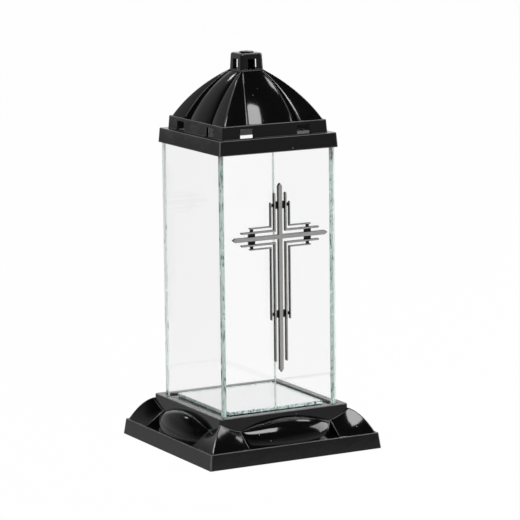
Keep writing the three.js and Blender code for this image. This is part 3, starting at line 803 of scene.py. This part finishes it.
def under_surface(name, rows, floor):
    """The solid between a surface, given as rows of points, and a flat floor."""
    wide, long = len(rows[0]), len(rows)
    top = [point for row in rows for point in row]
    points = top + [(x, y, floor) for x, y, z in top]
    under = len(top)
    faces = []
    for row in range(long - 1):
        for column in range(wide - 1):
            a = row * wide + column
            faces.append((a, a + 1, a + wide + 1, a + wide))
            faces.append((under + a, under + a + wide, under + a + wide + 1, under + a + 1))
    border = [*range(wide), *range(2 * wide - 1, long * wide, wide)]
    border += [*range(long * wide - 2, (long - 1) * wide - 1, -1), *range((long - 2) * wide, 0, -wide)]
    for a, b in zip(border, border[1:] + border[:1]):
        faces.append((a, under + a, under + b, b))
    return solid(name, points, faces)


def rise_limits(sizes):
    """Half widths between which the lobes and the flares rise: the fascia's foot and the lip's inner side."""
    return sizes.platform_half + sizes.fascia_lean, sizes.skirt_half - sizes.skirt_lean - sizes.lip


def base_lobe(sizes, inset, steps):
    """One bulging lobe on the +X side; inset draws it smaller, for the hollow under it."""
    root, lip_inner = rise_limits(sizes)
    full_run = lip_inner - root
    foot = sizes.skirt_height - inset
    rows = []
    for row in range(steps + 1):
        along = math.sin((2 * row / steps - 1) * QUARTER_TURN)
        crown = sizes.lobe_crown + (sizes.lobe_end - sizes.lobe_crown) * along ** 2
        run = full_run * math.sqrt(1 - (sizes.lobe_round * along) ** 2)
        across = along * (sizes.lobe_half_length - inset)
        points = [(root - inset - OVERRUN, across, foot + crown)]
        for column in range(steps // 2 + 1):
            turn = column / (steps // 2) * QUARTER_TURN
            points.append((root - inset + run * math.sin(turn), across, foot + crown * math.cos(turn)))
        rows.append(points)
    return under_surface("lobe", rows, foot - OVERRUN)


def ridge_outline(side, out, radius, legs, bends):
    """Plan of a flare at one level: along one leg, round the ridge, and back along the other leg."""
    radius = min(radius, (out - side) / 2)
    leg = [side + (out - radius - side) * (step / legs) ** FLARE_CROWDING for step in range(legs + 1)]
    plan = [(out, across) for across in leg]
    for step in range(1, bends):
        turn = step / bends * QUARTER_TURN
        plan.append((out - radius * (1 - math.cos(turn)), out - radius * (1 - math.sin(turn))))
    return plan + [(across, out) for across in reversed(leg)]


def base_flare(sizes, inset, steps):
    """One ridged flare on the +X +Y corner; inset draws it smaller, for the hollow under it."""
    fascia, lip_inner = rise_limits(sizes)
    full_run = lip_inner - fascia
    foot = sizes.skirt_height - inset
    side = sizes.lobe_half_length + inset
    rows = []
    for row in range(steps + 2):
        inward = full_run * row / steps
        climb = min(inward / full_run, 1)
        out = lip_inner - inset - inward if row <= steps else fascia - inset - OVERRUN
        edge = sizes.flare_edge * climb
        ridge = sizes.flare_ridge * climb + 4 * sizes.flare_bulge * climb * (1 - climb)
        points = []
        for x, y in ridge_outline(side, out, sizes.ridge_radius, legs=steps, bends=6):
            from_side = min(x, y) - side
            share_across = max(from_side / (out - side), 0)
            rounding = max(1 - from_side / sizes.edge, 0)
            drop = sizes.edge * (1 - math.sqrt(1 - min(rounding, 1) ** 2)) * climb
            points.append((x, y, foot + edge - drop + (ridge - edge) * share_across ** sizes.flare_hollow))
        rows.append(points)
    return under_surface("flare", rows, foot - OVERRUN)


def base_parts(sizes, inset, finish, steps):
    """The skirt, the lobes and the flares of the base, or of the hollow inside it."""
    bottom = -OVERRUN if inset else 0.0
    top = sizes.skirt_height - inset
    corner = sizes.skirt_corner
    skirt = square_solid("skirt", softened([
        (sizes.skirt_half - inset - sizes.edge, bottom, corner),
        (sizes.skirt_half - inset, bottom, corner),
        (sizes.skirt_half - sizes.skirt_lean - inset, top, corner),
        (sizes.lobe_half_length, top, 0),
    ], sizes.edge))
    lobes = on_all_sides(base_lobe(sizes, inset, steps), finish)
    flares = on_all_sides(base_flare(sizes, inset, steps), finish)
    return [skirt, lobes, flares]


def base_moulding(sizes, finish):
    """The base: a hollow sculpted shell with a groove for the panes and a sunk ledge for the mirror."""
    fascia = sizes.platform_half + sizes.fascia_lean
    sunk = sizes.skirt_height - OVERRUN
    outer, inner = sizes.groove_outer, sizes.groove_inner
    base = square_solid("base_moulding", softened([
        (fascia, sunk, sizes.platform_corner),
        (sizes.platform_half, sizes.platform_height, sizes.platform_corner),
        (outer, sizes.platform_height, sizes.edge),
        (outer, sizes.groove_floor, sizes.edge),
        (inner, sizes.groove_floor, sizes.edge),
        (inner, sizes.ledge_height, sizes.edge),
        (inner / 2, sizes.ledge_height, 0),
    ], sizes.edge))
    combine(base, "UNION", base_parts(sizes, 0.0, finish, steps=40))
    hollow = square_solid("hollow", [
        (fascia - sizes.wall, sunk - sizes.wall, sizes.platform_corner),
        (sizes.platform_half - sizes.wall, sizes.groove_floor - sizes.wall, sizes.platform_corner),
    ])
    core = square_solid("core", [
        (inner - sizes.wall, height, sizes.edge) for height in (0.0, sizes.ledge_height - sizes.wall)])
    combine(hollow, "UNION", [core, *base_parts(sizes, sizes.wall, finish, steps=16)])
    combine(base, "DIFFERENCE", [hollow])
    return base


def window_cutter(name, width, height, depth, chamfer, wall_face, sill):
    """A block that cuts a window through a wall on the +X side, and flares past the wall's face."""
    middle = sill + height / 2
    return ring_solid(name, [
        [
            (wall_face + out, across * (width / 2 + spread), middle + up * (height / 2 + spread))
            for across, up in ((-1, -1), (1, -1), (1, 1), (-1, 1))
        ]
        for out, spread in ((-depth, 0), (-chamfer, 0), (OVERRUN, chamfer + OVERRUN))
    ])


def lid_heights(sizes):
    """Heights of the band's top, the dome's top and the chimney's top over the ledge."""
    band_top = sizes.wall + sizes.band_height
    dome_top = band_top + sizes.dome_height
    return band_top, dome_top, dome_top + sizes.chimney_height


def dome_body(sizes, inset, finish, columns, rows):
    """The fluted dome, or the hollow inside it when inset is the wall."""
    return grow(link("dome", bpy.data.meshes.new("dome")), "Fluted Dome", {
        "Foot Half": sizes.dome_foot, "Top Half": sizes.dome_top, "Foot Height": lid_heights(sizes)[0],
        "Dome Height": sizes.dome_height, "Bulge": sizes.dome_bulge, "Rib Foot": sizes.rib_foot,
        "Rib Top": sizes.rib_top, "Inset": inset, "Drop": inset / 2, "Sink": DOME_SINK + inset,
        "Columns": columns, "Rows": rows, "Material": finish,
    })


def chimney_body(sizes, inset):
    """The chimney with its softened top, or the hollow inside it when inset is the wall."""
    _, foot, summit = lid_heights(sizes)
    top = summit - inset
    half = sizes.chimney_half - inset
    top_half = half - sizes.chimney_lean
    radius = sizes.chimney_corner - inset
    spread = 0.0 if inset else sizes.chimney_fillet
    walls = softened([
        (half + spread * 2, foot - spread, radius), (half, foot + spread / 2, radius),
        (top_half, top, radius), (top_half / 2, top, radius / 2),
    ], sizes.chimney_edge, steps=6)
    return square_solid("chimney", [(half, foot - OVERRUN - inset, radius), *walls])


def circle(radius, height, sides):
    turns = (2 * math.pi * side / sides for side in range(sides))
    return [(radius * math.cos(turn), radius * math.sin(turn), height) for turn in turns]


def chimney_boss(sizes, sides=48):
    """The low boss on the chimney, with the dimple of the moulding gate."""
    top, tall = lid_heights(sizes)[2], sizes.boss_height
    rim = [(sizes.boss_radius - tall * inwards, up) for inwards, up in BOSS_RIM]
    dimple = [(sizes.gate_radius * outwards, up) for outwards, up in GATE_DIMPLE]
    return ring_solid("boss", [circle(radius, top + tall * up, sides) for radius, up in rim + dimple])


def lid_moulding(sizes, finish):
    """The lid: collar, ledge, vented band, fluted dome and chimney in one hollow shell."""
    band_top, dome_top, _ = lid_heights(sizes)
    band_top_half = sizes.band_half - sizes.band_lean
    lid = square_solid("lid_moulding", softened([
        (sizes.collar_inner, -sizes.collar_depth, sizes.corner),
        (sizes.collar_half + sizes.collar_lean, -sizes.collar_depth, sizes.corner),
        (sizes.collar_half, sizes.wall, sizes.corner),
        (sizes.band_half, sizes.wall, sizes.corner),
        (band_top_half, band_top, sizes.corner),
        (band_top_half / 2, band_top, 0),
    ], sizes.edge))
    dome = dome_body(sizes, 0.0, finish, columns=129, rows=72)
    combine(lid, "UNION", [dome, chimney_body(sizes, 0.0), chimney_boss(sizes)])
    hollow = square_solid("hollow", [
        (sizes.collar_inner + sizes.collar_draft, -sizes.collar_depth - OVERRUN, 0),
        (sizes.collar_inner + sizes.collar_draft, -sizes.collar_depth, 0),
        (sizes.collar_inner, 0.0, 0),
    ])
    band_hollow = square_solid("band_hollow", [
        (sizes.band_half - sizes.wall, -OVERRUN, 0), (band_top_half - sizes.wall, band_top - sizes.wall, 0),
    ])
    dome_hollow = dome_body(sizes, sizes.wall, finish, columns=49, rows=28)
    combine(hollow, "UNION", [band_hollow, dome_hollow, chimney_body(sizes, sizes.wall)])
    vent = window_cutter(
        "vents", sizes.vent_width, sizes.vent_height, 4 * sizes.wall, sizes.vent_edge,
        sizes.band_half, sizes.wall)
    slot = window_cutter(
        "slots", sizes.slot_width, sizes.slot_height, sizes.chimney_half / 2, sizes.vent_edge,
        sizes.chimney_half, dome_top + sizes.slot_sill)
    vents = on_all_sides(vent, finish, per_side=2, spacing=sizes.vent_spacing)
    combine(lid, "DIFFERENCE", [hollow, vents, on_all_sides(slot, finish)])
    lid.data.transform(Matrix.Translation((0, 0, sizes.ledge_underside)))
    return lid


def shade(piece, sharp_degrees=32.0):
    """Smooth shading that stays crisp at sharp edges and flat on flat faces."""
    mesh = piece.data
    mesh.shade_smooth()
    mesh.set_sharp_from_angle(angle=math.radians(sharp_degrees))
    modifier = piece.modifiers.new("Flat Faces", "WEIGHTED_NORMAL")
    modifier.keep_sharp = True
    modifier.weight = 70
    return keep_result(piece)


def mark_inside(piece):
    """Gives the second finish to the faces that look inwards or down on the lid's inside."""
    lowest = min(vertex.co.z for vertex in piece.data.vertices) + THINNEST_FACE
    for face in piece.data.polygons:
        outwards = face.center.xy.normalized().dot(face.normal.xy)
        inside = outwards < INSIDE_INWARDS or face.normal.z < INSIDE_DOWNWARDS
        face.material_index = int(inside and face.normal.z < INSIDE_LEVEL and face.center.z > lowest)
    return piece


def mark_painted_edge_highlights(piece):
    """Marks the narrow faces that turn sharply outwards, so that the finish can paint a highlight on them."""
    skin = bmesh.new()
    skin.from_mesh(piece.data)
    marks = skin.faces.layers.float.new(PAINTED_EDGE_HIGHLIGHTS)
    for face in skin.faces:
        width = face.calc_area() / max(edge.calc_length() for edge in face.edges)
        turns = [edge.calc_face_angle_signed(0.0) for edge in face.edges]
        sharpness = (max(turns) + 2 * min(0.0, *turns)) / max(width, THINNEST_FACE)
        face[marks] = min(max(sharpness / SHARP_BEND - 1, 0), 1)
    skin.to_mesh(piece.data)
    skin.free()
    return piece


def dress(piece, *finishes):
    """Gives a piece its materials; the faces keep their numbers."""
    numbers = [0] * len(piece.data.polygons)
    if len(finishes) > 1:
        piece.data.polygons.foreach_get("material_index", numbers)
    piece.data.materials.clear()
    for finish in finishes:
        piece.data.materials.append(finish_named(finish))
    piece.data.polygons.foreach_set("material_index", numbers)
    return piece


def settle(piece, body, slot, *nodes):
    """Seats a finished piece on its body, in place of the nodes it stands for."""
    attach(piece, body)
    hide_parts(*nodes)


class LANTERN_OT_base(bpy.types.Operator):
    """Make the base moulding"""

    bl_idname = "lantern.base"
    bl_label = "Base Moulding"

    def execute(self, context):
        base = base_moulding(context.scene.lantern_base, finish_named("polished_black_plastic"))
        # Sharp outer edges are marked for a painted highlight
        shade(dress(mark_painted_edge_highlights(base), "polished_black_plastic"))
        settle(base, "base", "gloss_black_plastic", "base_shell")
        return {"FINISHED"}


class LANTERN_OT_lid(bpy.types.Operator):
    """Make the loose lid"""

    bl_idname = "lantern.lid"
    bl_label = "Lid"

    def execute(self, context):
        lid = lid_moulding(context.scene.lantern_lid, finish_named("polished_black_plastic"))
        # Sharp outer edges are marked for a painted highlight
        shade(dress(mark_inside(mark_painted_edge_highlights(lid)), "polished_black_plastic", "unpolished_plastic"))
        settle(lid, "lid", "gloss_black_plastic", "lid")
        return {"FINISHED"}


def pane(node, seam):
    """A pane with seamed edges; its narrow faces carry the cut finish."""
    low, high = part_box(node)
    outline = [(low.x, low.y), (high.x, low.y), (high.x, high.y), (low.x, high.y)]
    rings = [[(x, y, height) for x, y in outline] for height in (low.z, high.z)]
    glass = ring_solid(node.replace("pane", "glass"), rings)
    modifier = glass.modifiers.new("Seam", "BEVEL")
    modifier.width = seam
    modifier.segments = 1
    keep_result(glass)
    thin = min(range(2), key=lambda axis: high[axis] - low[axis])
    for face in glass.data.polygons:
        face.material_index = 0 if abs(face.normal[thin]) > FACING else 1
    return dress(glass, "float_glass", "cut_glass_edge")


class LANTERN_OT_panes(bpy.types.Operator):
    """Make the four panes"""

    bl_idname = "lantern.panes"
    bl_label = "Glass Panes"

    def execute(self, context):
        for side in ("front", "back", "left", "right"):
            node = f"pane_{side}"
            settle(pane(node, context.scene.lantern_glass.seam), "base", "clear_glass", node)
        return {"FINISHED"}


class LANTERN_OT_adhesive(bpy.types.Operator):
    """Finish the adhesive, and put bubbles into the corner joints"""

    bl_idname = "lantern.adhesive"
    bl_label = "Adhesive"

    def execute(self, context):
        sizes = context.scene.lantern_glass
        bonds = [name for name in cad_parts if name.startswith("bond_")]
        pads = [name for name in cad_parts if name.startswith("mirror_pad_")]
        for name in [*bonds, *pads, "pane_bedding", "cross_adhesive"]:
            finish = "groove_adhesive" if name == "pane_bedding" else "set_adhesive"
            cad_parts[name].material_slots[0].material = finish_named(finish)
        for seed, name in enumerate(sorted(bonds)):
            low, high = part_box(name)
            margin = Vector((sizes.bubble_width, high.y - low.y, sizes.bubble_length)) / 2
            seat = link(name.replace("bond", "bubbles"), bpy.data.meshes.new(name))
            bubbles = grow(seat, "Joint Bubbles", {
                "Count": sizes.bubbles, "Low": low + margin, "High": high - margin,
                "Longest": sizes.bubble_length, "Width": sizes.bubble_width,
                "Thickness": (high.y - low.y) * BUBBLE_SHARE, "Seed": 10 * seed + 1,
                "Material": finish_named("joint_bubble"),
            })
            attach(bubbles, "base")
        return {"FINISHED"}


def mirror_plate(chip):
    """The mirror: a plate with a broken edge, clear on top and silvered below."""
    chance = np.random.default_rng(MIRROR_SEED)
    half = MIRROR_HIGH.x
    size = SIDES * MIRROR_STEPS
    rings = []
    for level in range(MIRROR_LEVELS):
        height = MIRROR_LOW.z + (MIRROR_HIGH.z - MIRROR_LOW.z) * level / (MIRROR_LEVELS - 1)
        rough = chance.random(size)
        thrice = np.tile(chance.random(size), 3)
        coarse = np.convolve(thrice, np.ones(CHIP_RUN) / CHIP_RUN, "same")[size:2 * size]
        depth = chip * (FINE_CHIPS * rough ** 2 + COARSE_CHIPS * coarse ** 2)
        ring = []
        for index in range(size):
            side, along = divmod(index, MIRROR_STEPS)
            across = (2 * along / MIRROR_STEPS - 1) * half
            place = Matrix.Rotation(side * QUARTER_TURN, 3, "Z") @ Vector((half, across, height))
            inwards = 1 - depth[index] / half
            ring.append((place.x * inwards, place.y * inwards, height))
        rings.append(ring)
    plate = ring_solid("mirror_plate", rings)
    for face in plate.data.polygons:
        face.material_index = 0 if face.normal.z > FACING else 1 if face.normal.z < -FACING else 2
    return dress(plate, "float_glass", "mirror_silvering", "rough_mirror_edge")


class LANTERN_OT_mirror(bpy.types.Operator):
    """Make the mirror floor"""

    bl_idname = "lantern.mirror"
    bl_label = "Mirror Floor"

    def execute(self, context):
        settle(mirror_plate(context.scene.lantern_glass.chip), "base", "silvered_glass", "mirror_floor")
        return {"FINISHED"}


def bar(name, start, end, width, depth, tip, chamfer):
    """A bar in the plane of the pane from start to end; tip gives the length of each end's point."""
    start, end = Vector(start), Vector(end)
    along = (end - start).normalized()
    across = Vector((-along.y, along.x))
    rings = []
    for level, inset in ((0.0, 0.0), (depth - chamfer, 0.0), (depth, chamfer)):
        half = width / 2 - inset
        ring = []
        for origin, way, point in ((start, along, tip[0]), (end, -along, tip[1])):
            tip_inset, shoulder_inset = (1.4, 0.4) if point else (1.0, 1.0)
            sharp = origin + way * inset * tip_inset
            shoulder = origin + way * (point + inset * shoulder_inset)
            turn = across if way == along else -across
            ring += [shoulder + turn * half, sharp, shoulder - turn * half]
        rings.append([(spot.x, -level, spot.y) for spot in ring])
    return ring_solid(name, rings)


def cross_ornament(sizes):
    """A pointed main cross with two angled bars in each quarter, tied by low webs."""
    inner_arm, outer_arm = sizes.arm - sizes.inner_step, sizes.arm - sizes.outer_step
    inner_foot, outer_foot = sizes.foot - sizes.inner_foot_step, sizes.foot - sizes.outer_foot_step
    pointed = (sizes.main_tip, sizes.main_tip)
    depth, chamfer = sizes.depth, sizes.chamfer
    cross = bar("cross", (0, -sizes.foot), (0, sizes.arm), sizes.main_width, depth, pointed, chamfer)
    parts = [bar("part", (-sizes.arm, 0), (sizes.arm, 0), sizes.main_width, depth, pointed, chamfer)]
    for width, offset, arm, foot in (
        (sizes.inner_width, sizes.inner_offset, inner_arm, inner_foot),
        (sizes.outer_width, sizes.outer_offset, outer_arm, outer_foot),
    ):
        near = offset - width / 2
        tip = (0, width / 2)
        for side in (-1, 1):
            for way, reach in ((1, arm), (-1, -foot)):
                across, up = side * offset, way * offset
                parts.append(bar("part", (side * near, up), (side * arm, up), width, depth, tip, chamfer))
                parts.append(bar("part", (across, way * near), (across, reach), width, depth, tip, chamfer))
    flat, no_tip = 0.0001, (0, 0)
    for reach, width in ((sizes.inner_offset, sizes.web_width), (sizes.outer_offset, sizes.web_outer_width)):
        for place in (-sizes.web_arm, sizes.web_arm):
            parts.append(bar("web", (place, -reach), (place, reach), width, sizes.web_depth, no_tip, flat))
        for place in (sizes.web_arm, -sizes.web_foot):
            parts.append(bar("web", (-reach, place), (reach, place), width, sizes.web_depth, no_tip, flat))
    combine(cross, "UNION", parts)
    stamped_from = -depth * 0.9
    for face in cross.data.polygons:
        face.material_index = int(face.normal.y < -FACING and face.center.y < stamped_from)
    cross.data.transform(Matrix.Translation((0, CROSS_HIGH.y, CROSS_HIGH.z - sizes.arm)))
    return dress(cross, "polished_black_plastic", "stamped_foil")


class LANTERN_OT_cross(bpy.types.Operator):
    """Make the cross on the front pane"""

    bl_idname = "lantern.cross"
    bl_label = "Cross"

    def execute(self, context):
        cross = cross_ornament(context.scene.lantern_cross)
        settle(cross, "base", "silver_stamped_plastic", "cross_ornament")
        return {"FINISHED"}


def studio_world():
    """White behind the lantern, and for reflections a dark room with a paler horizon and back wall."""
    world = bpy.data.worlds.new("studio")
    world.use_nodes = True
    world.node_tree.nodes.clear()
    recipe = Recipe(world.node_tree, "ShaderNodeOutputWorld")
    seen = recipe.larger(*recipe.parts("ShaderNodeLightPath", None, "Is Camera Ray", "Is Transmission Ray"))
    way = recipe.made("ShaderNodeTexCoord", output="Generated")
    sideways, backwards, height = recipe.parts("ShaderNodeSeparateXYZ", {0: way}, "X", "Y", "Z")
    wall = recipe.ramp(backwards * 0.94 - sideways * 0.34, 0.55, 0.90) * recipe.ramp(height, 0.70, 0.55)
    backdrop = recipe.ramp(backwards * 0.87 + sideways * 0.47 + height * 0.15, 0.84, 0.96)
    horizon = recipe.ramp(height, 0.3, 0.0)
    room = recipe.larger(horizon * 0.25 + wall * 0.25, backdrop)
    dim, white = (
        recipe.made("ShaderNodeBackground", {"Color": WHITE, "Strength": strength})
        for strength in (room, 1.0))
    recipe.ended(Surface=recipe.blended(seen, dim, white))
    bpy.context.scene.world = world


def bearing(azimuth, elevation):
    """The way towards a place round the lantern, from the front towards the right and upwards."""
    level = math.cos(elevation)
    return Vector((math.sin(azimuth) * level, -math.cos(azimuth) * level, math.sin(elevation)))


def softbox(name, azimuth, elevation, distance, size, power):
    """A rectangular lamp that looks at the lantern, turned round it from the front towards the right."""
    data = bpy.data.lights.new(name, "AREA")
    data.shape = "RECTANGLE"
    data.size, data.size_y = size
    data.energy = power
    lamp = link(name, data)
    way = bearing(math.radians(azimuth), math.radians(elevation))
    lamp.location = way * distance + Vector((0, 0, LAMP_AIM))
    lamp.rotation_euler = (-way).to_track_quat("-Z", "Y").to_euler()
    lamp.visible_camera = False
    lamp.visible_transmission = False


def add_camera(stage):
    """The camera at the photograph's viewing angle."""
    back = bearing(stage.azimuth, stage.elevation)
    right = (-back).cross(Vector((0, 0, 1))).normalized()
    up = back.cross(right)
    rolled_right = right * math.cos(stage.roll) + up * math.sin(stage.roll)
    rolled_up = up * math.cos(stage.roll) - right * math.sin(stage.roll)
    data = bpy.data.cameras.new("camera")
    data.lens = stage.lens
    data.sensor_width = 36.0
    data.clip_end = 20.0
    camera = link("camera", data)
    turn = Matrix((rolled_right, rolled_up, back)).transposed().to_4x4()
    place = back * stage.distance + right * stage.aim_side + Vector((0, 0, stage.aim_height))
    camera.matrix_world = Matrix.Translation(place) @ turn
    bpy.context.scene.camera = camera


class LANTERN_OT_stage(bpy.types.Operator):
    """Make the floor, the lamps and the camera"""

    bl_idname = "lantern.stage"
    bl_label = "Stage"

    def execute(self, context):
        stage = context.scene.lantern_stage
        mesh = bpy.data.meshes.new("floor")
        mesh.from_pydata(circle(stage.floor_radius, 0, FLOOR_SIDES), [], [tuple(range(FLOOR_SIDES))])
        mesh.materials.append(finish_named("studio_floor"))
        link("floor", mesh)
        studio_world()
        softbox("key", azimuth=-13, elevation=56, distance=3.0, size=(2.35, 1.1), power=82)
        softbox("side_panel", azimuth=76, elevation=17, distance=2.0, size=(1.15, 1.0), power=17)
        softbox("top_panel", azimuth=98, elevation=48, distance=2.0, size=(0.36, 0.36), power=2.3)
        softbox("rim_panel", azimuth=134, elevation=46, distance=2.2, size=(0.5, 0.5), power=4.0)
        softbox("backlight", azimuth=-174, elevation=38, distance=2.5, size=(0.15, 0.15), power=0.6)
        add_camera(stage)
        context.scene.view_settings.view_transform = "Standard"
        return {"FINISHED"}


class LANTERN_PT_parts(bpy.types.Panel):
    """Lists the lantern's parts in the sidebar"""

    bl_idname = "LANTERN_PT_parts"
    bl_label = "Grave Lantern"
    bl_space_type = "VIEW_3D"
    bl_region_type = "UI"
    bl_category = "Lantern"

    def draw(self, context):
        for operator in OPERATORS:
            self.layout.operator(operator.bl_idname)
        for name in SETTINGS:
            group = getattr(context.scene, name)
            column = self.layout.column(align=True)
            for setting in group.__annotations__:
                column.prop(group, setting)


SETTINGS = {
    "lantern_base": LanternBaseSizes, "lantern_lid": LanternLidSizes, "lantern_glass": LanternGlassSizes,
    "lantern_cross": LanternCrossSizes, "lantern_colours": LanternColours, "lantern_stage": LanternStageSizes,
}
OPERATORS = (
    LANTERN_OT_base, LANTERN_OT_mirror, LANTERN_OT_panes, LANTERN_OT_adhesive, LANTERN_OT_cross,
    LANTERN_OT_lid, LANTERN_OT_stage,
)
CLASSES = (*SETTINGS.values(), *OPERATORS, LANTERN_PT_parts)


def register():
    for item in CLASSES:
        bpy.utils.register_class(item)
    for name, group in SETTINGS.items():
        setattr(bpy.types.Scene, name, PointerProperty(type=group))


def unregister():
    for name in SETTINGS:
        delattr(bpy.types.Scene, name)
    for item in reversed(CLASSES):
        bpy.utils.unregister_class(item)


def main():
    register()
    for operator in OPERATORS:
        family, name = operator.bl_idname.split(".")
        getattr(getattr(bpy.ops, family), name)()


if __name__ == "__main__":
    main()
